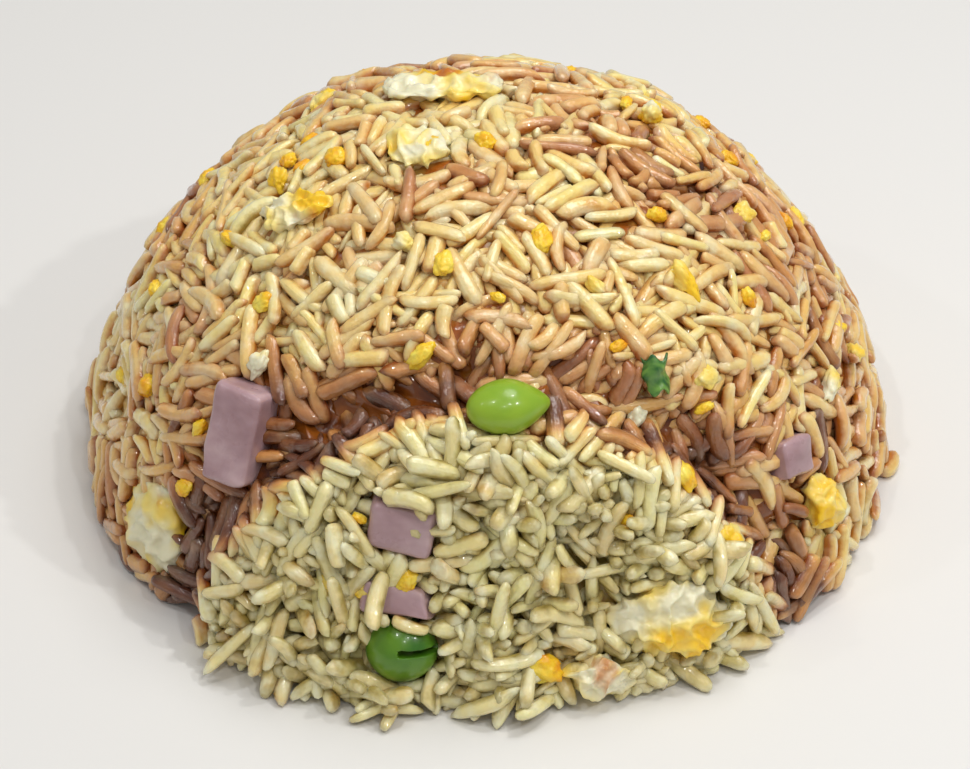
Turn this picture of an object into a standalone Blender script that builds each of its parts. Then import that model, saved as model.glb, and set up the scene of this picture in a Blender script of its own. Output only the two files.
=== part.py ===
"""Moulded mound of fried rice with egg, diced ham and edamame beans, standing on its flat base.

The mound was turned out of a rice bowl: a compact dome over the top and back. At the front its
skin has broken away, and looser pale rice slumps forward below a shelf where the sauce gathers.
Units are metres, +Z is up, the broken face looks along -Y, and the origin is the centre of the base.
"""

import math

import bmesh
import bpy
from mathutils import Matrix, Vector, noise

MM = 0.001

# Driving dimensions of the bowl-shaped mound.
BASE_RADIUS = 62.0 * MM
HEIGHT = 60.0 * MM
SIDE_POWER = 2.3
CROWN_POWER = 1.8
SEGMENTS_ROUND = 80
RINGS = 26

# The broken front: the skin is missing in front of this plane.
BREAK_Y = -44.0 * MM
BREAK_WANDER = 2.0 * MM
CREVICE_DEPTH = 3.4 * MM
CREVICE_WIDTH = 2.4 * MM
CREVICE_UNEVENNESS = 0.45
CREVICE_FOOT = 3.0 * MM, 16.0 * MM
SHELF_SWELL = 1.0 * MM
FACE_HOLLOW = 2.6 * MM
FACE_TOP = 40.0 * MM

# Foot of the mound: rice spilled to the front left, and a notch between it and the dome.
SPILL_AZIMUTH, SPILL_HALF_ANGLE, SPILL_OUT, SPILL_HEIGHT = -31.0, 11.0, 3.0 * MM, 14.0 * MM
NOTCH_AZIMUTH, NOTCH_HALF_ANGLE, NOTCH_DEPTH, NOTCH_HEIGHT = -45.0, 4.0, 4.5 * MM, 12.0 * MM

# Unevenness of the outline, from broad lumps down to the size of a grain.
LUMPS = ((30.0 * MM, 0.8 * MM), (9.0 * MM, 0.7 * MM), (4.5 * MM, 0.35 * MM))

# Clearance between a topping and the hollow that it sits in.
CLEARANCE = 0.4 * MM

# How far a diced cube's corners are out of square, as a share of its size.
DICE_SLIP = 0.14

COLOURS = {
    "rice": (0.62, 0.50, 0.27),
    "bean": (0.27, 0.50, 0.05),
    "bean_dark": (0.11, 0.33, 0.03),
    "ham": (0.50, 0.29, 0.31),
    "egg": (0.83, 0.76, 0.45),
}
ROUGHNESS = {"rice": 0.35, "bean": 0.3, "bean_dark": 0.3, "ham": 0.4, "egg": 0.45}


def clear_scene():
    for obj in list(bpy.data.objects):
        bpy.data.objects.remove(obj)


def smooth_step(low, high, value):
    share = min(1.0, max(0.0, (value - low) / (high - low)))
    return share * share * (3 - 2 * share)


def bell(value, centre, width):
    return math.exp(-(((value - centre) / width) ** 2))


def profile_radius(height):
    """Radius of the bowl shape at this height."""
    share = min(1.0, max(0.0, height / HEIGHT))
    return BASE_RADIUS * (1 - share**CROWN_POWER) ** (1 / SIDE_POWER)


def bowl_distance(direction):
    """How far the bowl shape's surface is from the origin along this unit direction."""
    across = math.hypot(direction.x, direction.y)
    low, high = 0.0, BASE_RADIUS + HEIGHT
    for _ in range(40):
        middle = (low + high) / 2
        side = (middle * across / BASE_RADIUS) ** SIDE_POWER
        crown = (middle * max(direction.z, 0.0) / HEIGHT) ** CROWN_POWER
        if side + crown < 1:
            low = middle
        else:
            high = middle
    return low


def front_shape(point):
    """What the broken front adds to the bowl shape's radius at this point."""
    wander = BREAK_WANDER * noise.noise(Vector((point.x, point.z, 0.0)) / (18 * MM))
    in_front = BREAK_Y + wander - point.y
    uneven = 1 + CREVICE_UNEVENNESS * noise.noise(point / (11 * MM) + Vector((5.0, 0.0, 0.0)))
    crevice = -CREVICE_DEPTH * uneven * bell(in_front, -CREVICE_WIDTH, CREVICE_WIDTH)
    crevice *= smooth_step(*CREVICE_FOOT, point.z)
    shelf = SHELF_SWELL * smooth_step(-1 * MM, 3 * MM, in_front)
    up_the_face = math.pi * min(1.0, max(0.0, point.z / FACE_TOP))
    hollow = -FACE_HOLLOW * math.sin(up_the_face) * smooth_step(3 * MM, 12 * MM, in_front)
    return crevice + shelf + hollow


def foot_shape(point):
    """The spill and the notch at the foot of the front left."""
    azimuth = math.degrees(math.atan2(point.x, -point.y))
    spill = SPILL_OUT * bell(azimuth, SPILL_AZIMUTH, SPILL_HALF_ANGLE)
    spill *= 1 - smooth_step(0.3 * SPILL_HEIGHT, SPILL_HEIGHT, point.z)
    notch = -NOTCH_DEPTH * bell(azimuth, NOTCH_AZIMUTH, NOTCH_HALF_ANGLE)
    notch *= 1 - smooth_step(0.3 * NOTCH_HEIGHT, NOTCH_HEIGHT, point.z)
    return spill + notch


def mound_point(direction, lumpy=True):
    """The mound's surface along this unit direction from the origin."""
    bowl = direction * bowl_distance(direction)
    reach = bowl.length + front_shape(bowl) + foot_shape(bowl)
    if lumpy:
        reach += sum(height * noise.noise(bowl / size) for size, height in LUMPS)
    return direction * reach


def build_mound(materials, collection):
    """The rice heap as one solid, out to its uneven outline, with a flat base at z = 0."""
    shape = bmesh.new()
    bmesh.ops.create_uvsphere(shape, u_segments=SEGMENTS_ROUND, v_segments=2 * RINGS, radius=1.0)
    everything = shape.verts[:] + shape.edges[:] + shape.faces[:]
    cut = bmesh.ops.bisect_plane(
        shape, geom=everything, dist=1e-6, plane_co=(0, 0, 0), plane_no=(0, 0, 1), clear_inner=True
    )
    rim = [part for part in cut["geom_cut"] if isinstance(part, bmesh.types.BMEdge)]
    bmesh.ops.contextual_create(shape, geom=rim)
    for vert in shape.verts:
        direction = Vector((vert.co.x, vert.co.y, max(vert.co.z, 0.0))).normalized()
        vert.co = mound_point(direction)
    bmesh.ops.recalc_face_normals(shape, faces=shape.faces[:])
    return finish_object("rice_mound", shape, Matrix.Identity(4), materials["rice"], collection)


def seat(azimuth, height, sink, roll=0.0, pitch=0.0):
    """Matrix of a topping's place on the mound: X round the mound, Y up its side, Z straight out.

    sink is how far its centre lies below the surface. roll turns it about the outward direction,
    and pitch then tips its upper edge outwards, both in degrees.
    """
    angle = math.radians(azimuth)

    def at(turn, level):
        across = profile_radius(level)
        bowl = Vector((across * math.sin(turn), -across * math.cos(turn), level))
        return mound_point(bowl.normalized(), lumpy=False)

    step = 1.0 * MM
    place = at(angle, height)
    round_it = (at(angle + 0.02, height) - at(angle - 0.02, height)).normalized()
    up_side = at(angle, min(height + step, HEIGHT - 0.1 * MM)) - at(angle, height - step)
    outward = round_it.cross(up_side).normalized()
    up_side = outward.cross(round_it)
    turned = Matrix((round_it, up_side, outward)).transposed().to_4x4()
    spin = Matrix.Rotation(math.radians(roll), 4, "Z") @ Matrix.Rotation(math.radians(pitch), 4, "X")
    return Matrix.Translation(place - outward * sink) @ turned @ spin


def finish_object(name, shape, matrix, material, collection):
    mesh = bpy.data.meshes.new(name)
    shape.to_mesh(mesh)
    shape.free()
    mesh.shade_smooth()
    mesh.set_sharp_from_angle(angle=math.radians(50))
    obj = bpy.data.objects.new(name, mesh)
    obj.matrix_world = matrix
    if material is not None:
        mesh.materials.append(material)
    collection.objects.link(obj)
    return obj


def lump_shape(size, seed, crag, wave, grow, detail=2):
    """A rounded, craggy lump of egg: an icosphere with noise, stretched to size (X, Y, Z)."""
    shape = bmesh.new()
    bmesh.ops.create_icosphere(shape, subdivisions=detail, radius=1.0)
    for vert in shape.verts:
        way = vert.co.normalized()
        bump = noise.noise(way * wave + Vector((seed, 0.0, 0.0)))
        bump += 0.5 * noise.noise(way * 2.1 * wave + Vector((0.0, seed, 0.0)))
        reach = 1 + crag * bump
        half = Vector((size[0] / 2, size[1] / 2, size[2] / 2))
        spot = Vector((way.x * half.x, way.y * half.y, way.z * half.z)) * reach
        vert.co = spot + way * grow
    return shape


def sheet_shape(size, seed, fold, grow):
    """A folded piece of omelette sheet: a flat cake of egg, rippled along X and rounded at its rim."""
    shape = bmesh.new()
    bmesh.ops.create_icosphere(shape, subdivisions=2, radius=1.0)
    for vert in shape.verts:
        way = vert.co.normalized()
        ragged = 1 + 0.22 * noise.noise(Vector((way.x, way.y, 0.0)) * 1.9 + Vector((seed, 0, 0)))
        flat = Vector((way.x * size[0] / 2 * ragged, way.y * size[1] / 2 * ragged, 0.0))
        ripple = fold * math.sin(7.0 * way.y + 2.0 * way.x + seed)
        flat.z = way.z * size[2] / 2 + ripple * (1 - 0.5 * abs(way.x))
        vert.co = flat + way * grow
    return shape


def dice_shape(size, seed, grow):
    """A knife-cut cube of ham, slightly out of square, with softly rounded edges."""
    shape = bmesh.new()
    bmesh.ops.create_cube(shape, size=1.0)
    for number, vert in enumerate(shape.verts):
        for axis in range(3):
            # noise.noise gives the same value each run, and noise.noise_vector doesn't.
            slip = noise.noise(Vector((seed + number, 0.3, 0.7 + 5.0 * axis)) * 1.37)
            vert.co[axis] = vert.co[axis] * (size[axis] + 2 * grow) + slip * DICE_SLIP * size[axis]
    bmesh.ops.bevel(
        shape, geom=shape.edges[:], offset=0.18 * min(size), segments=3, profile=0.5, affect="EDGES"
    )
    return shape


def bean_shape(size, tip, grow):
    """An edamame bean: an egg-shaped solid drawn out to a blunt point at +X by tip."""
    shape = bmesh.new()
    bmesh.ops.create_uvsphere(shape, u_segments=20, v_segments=14, radius=1.0)
    turn = Matrix.Rotation(math.radians(90), 4, "Y")
    bmesh.ops.transform(shape, matrix=turn, verts=shape.verts)
    for vert in shape.verts:
        way = vert.co.normalized()
        taper = 1 - tip * max(0.0, way.x) ** 1.5
        half = (size[0] / 2, size[1] / 2 * taper, size[2] / 2 * taper)
        stretched = Vector((way.x * half[0], way.y * half[1], way.z * half[2]))
        vert.co = stretched + way * grow
    return shape


def sunk_topping(name, make_shape, matrix, material, mound, collection, cutters):
    """Puts a topping in the collection, and cuts a hollow for it in the mound."""
    topping = finish_object(name, make_shape(0.0), matrix, material, collection)
    cutter = finish_object(name + "_hollow", make_shape(CLEARANCE), matrix, None, cutters)
    cutter.hide_render = True
    cutter.display_type = "WIRE"
    hollow = mound.modifiers.new(name, "BOOLEAN")
    hollow.operation = "DIFFERENCE"
    hollow.object = cutter
    return topping


def cut_slit(bean, size, cutters):
    """Opens the split bean between its two halves, from its +X end to near the middle."""
    shape = bmesh.new()
    bmesh.ops.create_cube(shape, size=1.0)
    stretch = Matrix.Diagonal((0.62 * size[0], 0.10 * size[1], 1.4 * size[2], 1.0))
    shift = Matrix.Translation((0.33 * size[0], 0.06 * size[1], 0.62 * size[2]))
    bmesh.ops.transform(shape, matrix=shift @ stretch, verts=shape.verts)
    slit = finish_object(bean.name + "_slit", shape, bean.matrix_world.copy(), None, cutters)
    slit.hide_render = True
    slit.display_type = "WIRE"
    opening = bean.modifiers.new("slit", "BOOLEAN")
    opening.operation = "DIFFERENCE"
    opening.object = slit


def build_beans(materials, mound, collection, cutters):
    ledge_size = (12.4 * MM, 8.6 * MM, 7.6 * MM)
    sunk_topping(
        "edamame_ledge",
        lambda grow: bean_shape(ledge_size, 0.45, grow),
        seat(azimuth=4.0, height=42.4 * MM, sink=-0.6 * MM, roll=7.0),
        materials["bean"], mound, collection, cutters,
    )
    split_size = (10.6 * MM, 10.0 * MM, 9.0 * MM)
    split = sunk_topping(
        "edamame_split",
        lambda grow: bean_shape(split_size, 0.08, grow),
        seat(azimuth=-12.0, height=9.4 * MM, sink=1.6 * MM, roll=4.0),
        materials["bean_dark"], mound, collection, cutters,
    )
    cut_slit(split, split_size, cutters)


def build_ham(materials, mound, collection, cutters):
    dice = {
        "ham_left": (seat(-44.5, 32.0 * MM, 2.0 * MM, roll=8.0), (8.6 * MM, 14.5 * MM, 6.5 * MM), 3.0),
        "ham_front": (seat(-13.2, 27.6 * MM, 2.4 * MM, roll=-3.0), (9.2 * MM, 8.0 * MM, 7.0 * MM), 8.0),
        "ham_low": (seat(-13.5, 16.6 * MM, 2.6 * MM, pitch=-12.0), (10.5 * MM, 4.6 * MM, 7.0 * MM), 14.0),
        "ham_right": (seat(54.5, 24.4 * MM, 2.0 * MM, roll=-14.0), (6.6 * MM, 5.6 * MM, 5.6 * MM), 21.0),
    }
    for name, (matrix, size, seed) in dice.items():
        sunk_topping(
            name,
            lambda grow, size=size, seed=seed: dice_shape(size, seed, grow),
            matrix, materials["ham"], mound, collection, cutters,
        )


def build_egg(materials, mound, collection, cutters):
    lumps = {
        "egg_front_right": (seat(27.0, 10.6 * MM, 1.0 * MM, roll=-12.0),
                            (17.0 * MM, 11.5 * MM, 9.0 * MM), 2.0, 0.34, 1.5, 3),
        "egg_front_low": (seat(15.5, 4.8 * MM, 0.6 * MM, roll=-6.0),
                          (9.5 * MM, 6.0 * MM, 6.4 * MM), 7.5, 0.30, 1.7, 2),
        "egg_left": (seat(-57.0, 11.0 * MM, 2.6 * MM, roll=14.0),
                     (14.0 * MM, 15.0 * MM, 8.5 * MM), 12.0, 0.22, 1.2, 2),
        "egg_right": (seat(57.5, 14.8 * MM, 0.8 * MM, roll=6.0),
                      (7.0 * MM, 8.4 * MM, 6.6 * MM), 17.0, 0.28, 1.4, 2),
    }
    for name, (matrix, *form) in lumps.items():
        sunk_topping(
            name,
            lambda grow, form=form: lump_shape(*form[:4], grow, form[4]),
            matrix, materials["egg"], mound, collection, cutters,
        )
    sheets = {
        "egg_crown": (seat(-155.0, 58.6 * MM, 0.3 * MM, roll=148.0),
                      (20.0 * MM, 9.5 * MM, 3.0 * MM), 1.0, 0.8 * MM),
        "egg_upper": (seat(-73.0, 59.4 * MM, 0.4 * MM, roll=25.0),
                      (11.0 * MM, 8.5 * MM, 2.8 * MM), 4.0, 0.6 * MM),
        "egg_shoulder": (seat(-69.0, 53.3 * MM, 0.4 * MM, roll=52.0),
                         (12.0 * MM, 6.5 * MM, 2.6 * MM), 9.0, 0.5 * MM),
    }
    for name, (matrix, *form) in sheets.items():
        sunk_topping(
            name,
            lambda grow, form=form: sheet_shape(*form, grow),
            matrix, materials["egg"], mound, collection, cutters,
        )


def make_materials():
    made = {}
    for name, colour in COLOURS.items():
        material = bpy.data.materials.new(name)
        material.use_nodes = True
        shader = material.node_tree.nodes["Principled BSDF"]
        shader.inputs["Base Color"].default_value = (*colour, 1.0)
        shader.inputs["Roughness"].default_value = ROUGHNESS[name]
        shader.inputs["Metallic"].default_value = 0.0
        made[name] = material
    return made


def new_collection(name):
    collection = bpy.data.collections.new(name)
    bpy.context.scene.collection.children.link(collection)
    return collection


def centre_on_origin(collections):
    """Shifts everything level, so that the origin is at the middle of the whole part's base."""
    bpy.context.view_layer.update()
    corners = [
        obj.matrix_world @ Vector(corner)
        for obj in collections[0].objects
        for corner in obj.bound_box
    ]
    shift = Vector((
        -(min(c.x for c in corners) + max(c.x for c in corners)) / 2,
        -(min(c.y for c in corners) + max(c.y for c in corners)) / 2,
        0.0,
    ))
    for collection in collections:
        for obj in collection.objects:
            obj.matrix_world = Matrix.Translation(shift) @ obj.matrix_world


def main():
    clear_scene()
    collection = new_collection("fried_rice_mound")
    cutters = new_collection("cutters")
    materials = make_materials()
    mound = build_mound(materials, collection)
    build_beans(materials, mound, collection, cutters)
    build_ham(materials, mound, collection, cutters)
    build_egg(materials, mound, collection, cutters)
    centre_on_origin((collection, cutters))


main()
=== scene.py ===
"""Fried rice mound: real grains, egg, ham and beans over a smaller core, packed by relaxation.

The grains fill a shell under the mound's skin. Behind the break they lie flat and are stained by
soy sauce; in front of it they are pale and loose. Lengths are in metres unless a name says otherwise.
"""

import math

import bmesh
import bpy
import numpy as np
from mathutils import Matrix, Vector, noise
from mathutils.bvhtree import BVHTree


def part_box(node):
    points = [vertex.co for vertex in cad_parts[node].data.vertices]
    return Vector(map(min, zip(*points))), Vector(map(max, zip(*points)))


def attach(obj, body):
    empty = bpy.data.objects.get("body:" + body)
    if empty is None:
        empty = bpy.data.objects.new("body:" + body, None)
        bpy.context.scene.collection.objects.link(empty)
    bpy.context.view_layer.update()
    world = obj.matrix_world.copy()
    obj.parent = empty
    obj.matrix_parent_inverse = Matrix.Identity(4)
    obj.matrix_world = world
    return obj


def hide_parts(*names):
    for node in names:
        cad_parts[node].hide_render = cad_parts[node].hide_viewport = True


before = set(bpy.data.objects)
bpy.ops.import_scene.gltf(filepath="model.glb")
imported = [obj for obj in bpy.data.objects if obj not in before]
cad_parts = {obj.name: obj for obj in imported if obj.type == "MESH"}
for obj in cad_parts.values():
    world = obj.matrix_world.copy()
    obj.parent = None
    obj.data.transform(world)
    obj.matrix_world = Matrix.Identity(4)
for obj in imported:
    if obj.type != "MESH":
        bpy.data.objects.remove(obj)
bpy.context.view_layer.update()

MM = 0.001
MOUND_LOW, MOUND_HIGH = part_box("rice_mound")
TOP = MOUND_HIGH.z
TOPPINGS = [name for name in sorted(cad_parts) if name != "rice_mound"]

# The break: in front of this plane the moulded skin is missing. It lies 18.4 mm behind the front edge.
BREAK_Y = MOUND_LOW.y + 18.4 * MM

# The skin is kept as a distance from the base's centre, for each azimuth and elevation.
AZIMUTHS, ELEVATIONS = 360, 100
LOWEST = math.radians(0.4)

# Rice grains.
GRAIN_COUNT = 5700
GRAIN_LENGTH = 7.6 * MM, 11.8 * MM
GRAIN_WIDTH = 2.1 * MM, 3.0 * MM
BROKEN_SHARE = 0.16
SHELL = 7.0 * MM
FLOOR_GAP = 0.05 * MM
BEADS = 4
RELAX_STEPS = 110

# Cooked grains are soft and stick together, so they are packed a little closer than they are thick.
SOFTNESS = 0.72

# Streaks along a grain, in the map's units.
GRAIN_STREAKS = 90.0, 420.0, 1.0

# How deep the core lies: close under the pressed skin, deeper under the loose front.
CORE_DEPTH_PRESSED, CORE_DEPTH_LOOSE = 2.5 * MM, 3.4 * MM

# Small pieces by azimuth in degrees and height in millimetres, with their size in millimetres.
YOLK_CURDS = (
    (-11, 59.9, 3.6), (21, 56.1, 4.6), (-74, 59.6, 4.2), (-14, 55.1, 3.6), (122, 54.3, 3.8),
    (-70, 27.6, 4.0), (-53, 30.1, 2.8), (34, 30.1, 4.0), (41, 36.3, 2.6), (65, 43.4, 3.4),
    (-12, 19.8, 3.4), (8, 7.4, 5.0), (-15, 46.6, 4.4), (-98, 52.9, 3.0), (-105, 54.4, 3.0),
    (108, 47.2, 2.8), (97, 40.2, 2.6), (29, 47.0, 2.2), (3, 52.7, 2.2), (22, 27.3, 2.4),
    (-56, 45.8, 3.4), (-52, 20.7, 3.0), (-20, 28.4, 2.2), (65, 54.0, 3.2),
)
WHITE_BITS = (
    (30, 36.5, 4.4), (30, 52.1, 3.6), (44, 40.7, 4.4), (38, 20.3, 4.8), (-18, 17.2, 2.6),
    (-48, 39.9, 3.8), (-30, 56.0, 3.8), (53, 49.4, 5.0), (-23, 17.4, 3.4),
)
SCALLIONS = ((34, 42.4, 5.2), (-150, 30.0, 4.0), (140, 22.0, 3.6))
POOLS = (
    (-15, 40.9, 5.2), (-10, 44.6, 3.6), (23, 39.6, 4.6), (35, 33.4, 4.4), (44, 26.4, 4.4),
    (48, 18.4, 5.0), (-33, 34.5, 4.6), (-39, 23.3, 4.0), (-25, 39.0, 4.0), (12, 42.5, 3.4),
)
OPEN_POOLS = ((-15.6, 40.9, 0), (-14.0, 41.3, 0), (-12.6, 41.0, 0), (46.0, 21.5, 0), (48.0, 18.4, 0))
HIDDEN_CURDS, HIDDEN_BITS = 34, 14

# How much of a topping's outer face grains are kept off.
CLEAR_SHARE = {"edamame": 0.90, "ham": 0.30, "egg": 0.66}

# Light and camera.
SMALL_LAMPS = (
    ((-0.16, -0.16, 0.58), 0.36), ((0.34, -0.18, 0.46), 0.50), ((0.06, -0.38, 0.50), 0.24),
    ((0.20, 0.02, 0.58), 0.42), ((-0.34, -0.10, 0.46), 0.12), ((0.16, -0.28, 0.54), 0.32),
)
CAMERA_ELEVATION = 38.0
CAMERA_DISTANCE = 0.6
CAMERA_AIM = (-0.0003, 0.0, 0.013)
CAMERA_LENS = 143.4


def srgb(red, green, blue):
    """Linear colour from 8-bit sRGB."""
    def line(v):
        v /= 255
        return v / 12.92 if v <= 0.04045 else ((v + 0.055) / 1.055) ** 2.4
    return (line(red), line(green), line(blue), 1.0)


PALE = srgb(240, 232, 164)
PALE_2 = srgb(238, 218, 156)
CREAM = srgb(242, 216, 128)
CREAM_2 = srgb(236, 196, 124)
AMBER_TAN = srgb(236, 192, 104)
ROSY_TAN = srgb(220, 164, 106)
TAN = srgb(210, 146, 76)
ROSY_BROWN = srgb(178, 114, 70)
BROWN = srgb(104, 54, 24)
# Painted shade: colours for the sides of the grains that face into the gaps, and for the core seen between
# the grains. They are olive in the pale rice and amber to dark brown in the stained rice, where they are
# partly the sauce itself.
OLIVE_SHADE = srgb(172, 152, 76)
AMBER_SAUCE_AND_SHADE = srgb(200, 124, 30)
RUST_SAUCE_AND_SHADE = srgb(158, 78, 16)
DARK_SAUCE_AND_SHADE = srgb(76, 30, 8)
CORE_SAUCE_AND_SHADE = srgb(158, 86, 24)
WHITE_TIP = srgb(242, 238, 200)
YOLK = srgb(248, 200, 36)
YOLK_DEEP = srgb(236, 156, 24)
YOLK_LIGHT = srgb(248, 226, 96)
EGG_WHITE = srgb(234, 228, 194)
EGG_BROWNED = srgb(196, 116, 38)
HAM_PINK = srgb(178, 146, 150)
HAM_DARK = srgb(156, 122, 126)
HAM_LIGHT = srgb(204, 176, 178)
BEAN_LIGHT = srgb(156, 184, 48)
BEAN_MID = srgb(118, 160, 34)
BEAN_DEEP = srgb(52, 104, 22)
SAUCE = srgb(92, 42, 12)
SCALLION = srgb(38, 92, 40)
FLOOR = srgb(232, 230, 226)


# ---------------------------------------------------------------- fields

def lattice(x, y, z, seed):
    """Repeatable values from -1 to 1 at whole-number points."""
    h = (x * 374761393 + y * 668265263 + z * 1442695041 + seed * 974634777) & 0xFFFFFFFF
    h = ((h ^ (h >> 13)) * 1274126177) & 0xFFFFFFFF
    return ((h ^ (h >> 16)) & 0xFFFF) / 32767.5 - 1.0


def field(points, size, seed):
    """Smooth noise from -1 to 1 at each row of points."""
    p = np.asarray(points, float) / size + 1000.0
    cell = np.floor(p).astype(np.int64)
    f = p - cell
    f = f * f * (3 - 2 * f)
    total = np.zeros(p.shape[:-1])
    for corner in range(8):
        step = np.array([corner & 1, corner >> 1 & 1, corner >> 2 & 1])
        weight = np.prod(np.where(step == 1, f, 1 - f), axis=-1)
        at = cell + step
        total += weight * lattice(at[..., 0], at[..., 1], at[..., 2], seed)
    return total


def ramp(low, high, value):
    share = np.clip((value - low) / (high - low), 0, 1)
    return share * share * (3 - 2 * share)


def unit(vectors):
    return vectors / np.maximum(np.linalg.norm(vectors, axis=-1, keepdims=True), 1e-12)


# ---------------------------------------------------------------- skin

def tree_of(node):
    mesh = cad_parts[node].data
    mesh.calc_loop_triangles()
    faces = [tuple(t.vertices) for t in mesh.loop_triangles]
    return BVHTree.FromPolygons([v.co.copy() for v in mesh.vertices], faces)


def direction(azimuth, elevation):
    """Azimuth 0 is the front, -Y, and grows towards +X. Both in radians."""
    level = np.cos(elevation)
    return np.stack(
        [level * np.sin(azimuth), -level * np.cos(azimuth), np.sin(elevation) + 0 * azimuth], -1
    )


class Skin:
    """The mound's outer surface, with the hollows under the toppings smoothed away."""

    def __init__(self):
        self.azimuth = np.arange(AZIMUTHS) * 2 * np.pi / AZIMUTHS
        self.elevation = np.linspace(LOWEST, np.pi / 2, ELEVATIONS)
        azimuth, elevation = np.meshgrid(self.azimuth, self.elevation)
        ways = direction(azimuth, elevation)
        mound = tree_of("rice_mound")
        others = [tree_of(name) for name in TOPPINGS]
        start = Vector((0, 0, 0.1 * MM))
        reach = np.zeros(azimuth.shape)
        known = np.ones(azimuth.shape, bool)
        for row in range(ELEVATIONS):
            for column in range(AZIMUTHS):
                way = Vector(ways[row, column])
                spot, _, _, far = mound.ray_cast(start, way)
                reach[row, column] = far if spot else np.nan
                known[row, column] = spot is not None
                if any(tree.ray_cast(start, way)[0] for tree in others):
                    known[row, column] = False
        for _ in range(2):
            known &= np.roll(known, 1, 1) & np.roll(known, -1, 1)
            known[1:] &= known[:-1]
            known[:-1] &= known[1:]
        self.reach = self.fill(reach, known)
        points = ways * self.reach[..., None]
        across = np.roll(points, -1, 1) - np.roll(points, 1, 1)
        upward = np.gradient(points, axis=0)
        normal = unit(np.cross(across, upward))
        normal[-1] = (0, 0, 1)
        self.normal = normal

    @staticmethod
    def fill(reach, known):
        """Carries the known distances smoothly over the unknown ones."""
        value = np.where(known, reach, np.nanmean(reach[known]))
        for _ in range(400):
            up = np.vstack([value[:1], value[:-1]])
            down = np.vstack([value[1:], value[-1:]])
            mean = (up + down + np.roll(value, 1, 1) + np.roll(value, -1, 1)) / 4
            value = np.where(known, value, mean)
        return value

    def look_up(self, table, points):
        """Values of a table at the directions of these points, between its rows and columns."""
        azimuth = np.arctan2(points[..., 0], -points[..., 1]) % (2 * np.pi)
        level = np.hypot(points[..., 0], points[..., 1])
        elevation = np.arctan2(points[..., 2], level)
        column = azimuth / (2 * np.pi) * AZIMUTHS
        row = (elevation - LOWEST) / (np.pi / 2 - LOWEST) * (ELEVATIONS - 1)
        row = np.clip(row, 0, ELEVATIONS - 1.001)
        c0, r0 = np.floor(column).astype(int), np.floor(row).astype(int)
        fc, fr = column - c0, row - r0
        if table.ndim == 3:
            fc, fr = fc[..., None], fr[..., None]
        c1 = (c0 + 1) % AZIMUTHS
        c0 = c0 % AZIMUTHS
        low = table[r0, c0] * (1 - fc) + table[r0, c1] * fc
        high = table[r0 + 1, c0] * (1 - fc) + table[r0 + 1, c1] * fc
        return low * (1 - fr) + high * fr

    def normals(self, points):
        return unit(self.look_up(self.normal, points))

    def depth(self, points, normals):
        """How far below the skin each point lies, along the skin's normal."""
        far = np.linalg.norm(points, axis=-1)
        slope = (normals * unit(points)).sum(-1)
        return (self.look_up(self.reach, points) - far) * slope

    def spot(self, azimuth, height, depth=0.0):
        """Point and normal at an azimuth in degrees and a height, that deep under the skin."""
        way = direction(np.radians(azimuth) + 0 * self.elevation, self.elevation)
        reach = self.look_up(self.reach, way)
        nearest = np.argmin(abs(reach * way[:, 2] - height))
        point = way[nearest] * reach[nearest]
        normal = self.normals(point[None])[0]
        return point - normal * depth, normal


# ---------------------------------------------------------------- where the mound is what

def looseness(points):
    """0 where the moulded skin is pressed smooth, 1 in the loose rice in front of the break."""
    wander = 1.6 * MM * field(points, 14 * MM, 3)
    front = ramp(-1 * MM, 4 * MM, BREAK_Y + wander - points[..., 1])
    foot = 0.7 * ramp(9 * MM, 1 * MM, points[..., 2])
    return np.maximum(front, foot)


def tufted(points):
    """1 at the foot of the front left, where the grains stick out in tufts."""
    azimuth = np.degrees(np.arctan2(points[..., 0], -points[..., 1]))
    return np.exp(-(((azimuth + 30) / 16) ** 2)) * ramp(26 * MM, 12 * MM, points[..., 2])


def stain(points):
    """How much soy sauce has soaked in, from 0 in the pale front to 1 just above the break."""
    behind = points[..., 1] - BREAK_Y
    skin = ramp(-3 * MM, 2.5 * MM, behind + 1.6 * MM * field(points, 9 * MM, 5))
    broad = field(points, 24 * MM, 7) + 0.6 * field(points, 10 * MM, 8)
    level = 0.50 + 0.24 * broad - 0.15 * ramp(36 * MM, 52 * MM, points[..., 2])
    azimuth = np.degrees(np.arctan2(points[..., 0], -points[..., 1]))
    level = level - 0.12 * ramp(50, 80, -azimuth) * ramp(150, 110, -azimuth)
    band = np.exp(-(((behind - 2.5 * MM) / (5.5 * MM)) ** 2))
    band = band * (0.65 + 0.5 * field(points, 12 * MM, 9))
    return np.clip(skin * (level + 1.1 * band) + 0.05, 0, 1)


# ---------------------------------------------------------------- packing

def near_pairs(points, reach):
    """Pairs of points closer than reach, found on a grid of cells."""
    cell = np.floor(points / reach).astype(np.int64)
    cell -= cell.min(0) - 1
    size = cell.max(0) + 2
    key = (cell[:, 0] * size[1] + cell[:, 1]) * size[2] + cell[:, 2]
    order = np.argsort(key, kind="stable")
    ranked = key[order]
    every = np.arange(len(points))
    firsts, seconds = [], []
    for x in (-1, 0, 1):
        for y in (-1, 0, 1):
            for z in (-1, 0, 1):
                wanted = key + (x * size[1] + y) * size[2] + z
                start = np.searchsorted(ranked, wanted, "left")
                count = np.searchsorted(ranked, wanted, "right") - start
                first = np.repeat(every, count)
                within = np.arange(len(first)) - np.repeat(np.cumsum(count) - count, count)
                second = order[np.repeat(start, count) + within]
                keep = first < second
                firsts.append(first[keep])
                seconds.append(second[keep])
    first, second = np.concatenate(firsts), np.concatenate(seconds)
    close = ((points[first] - points[second]) ** 2).sum(1) < reach * reach
    return first[close], second[close]


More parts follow.
